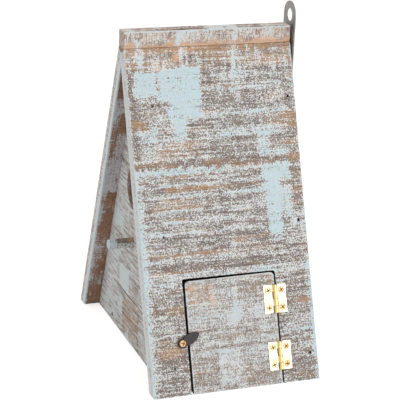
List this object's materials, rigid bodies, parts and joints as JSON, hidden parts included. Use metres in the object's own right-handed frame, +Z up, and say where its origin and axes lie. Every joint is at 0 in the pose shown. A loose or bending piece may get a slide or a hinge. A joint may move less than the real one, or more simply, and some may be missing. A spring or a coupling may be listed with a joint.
{
  "type": "bird nest box",
  "caption": "A-frame bird nest box of distressed painted boards, with an entrance hole and perch in the front gable, a hinged clean-out door with a turn button, and a hanging plate.",
  "frame": {"origin": "on the ground under the middle of the outline, which runs from the perch's tip to the hanger's screws", "axes": "+Z up, the entrance gable faces -Y, the ridge runs along Y, and the door is in the +X roof panel"},
  "size_m": [0.222, 0.1618, 0.3059],
  "materials": {
    "painted_wood": "worn pale blue paint over rough-sawn brown wood",
    "hinge_brass": "polished brass plate",
    "screw_brass": "brass plated, cross recess",
    "button_metal": "dark bronzed",
    "plate_steel": "dull zinc",
    "fastener_steel": "dull steel"
  },
  "bodies": {
    "box": {"roof_panel_right": "painted_wood", "roof_panel_left": "painted_wood", "front_gable": "painted_wood", "back_gable": "painted_wood", "floor_board": "painted_wood", "ridge_bar": "painted_wood", "perch": "painted_wood", "hinge_upper_frame_leaf": "hinge_brass", "hinge_upper_pin": "hinge_brass", "hinge_lower_frame_leaf": "hinge_brass", "hinge_lower_pin": "hinge_brass", "hinge_frame_screws": "screw_brass", "turn_button_screw": "screw_brass", "hanger_plate": "plate_steel", "hanger_screws": "fastener_steel", "right_panel_nails": "fastener_steel", "left_panel_nails": "fastener_steel", "ridge_nails": "fastener_steel", "floor_nails": "fastener_steel"},
    "door": {"door": "painted_wood", "hinge_upper_door_leaf": "hinge_brass", "hinge_lower_door_leaf": "hinge_brass", "hinge_door_screws": "screw_brass"},
    "turn_button": {"turn_button": "button_metal"}
  },
  "joints": [
    {"name": "door_hinge", "type": "hinge", "parent": "box", "child": "door", "pos_m": [0.09589, 0.0423, 0.04561], "axis": [-0.3567, 0, 0.9342], "range_deg": [0, 170]},
    {"name": "button_turn", "type": "hinge", "parent": "box", "child": "turn_button", "pos_m": [0.0965, -0.0441, 0.04135], "axis": [0.9342, 0, 0.3567], "continuous": true}
  ]
}
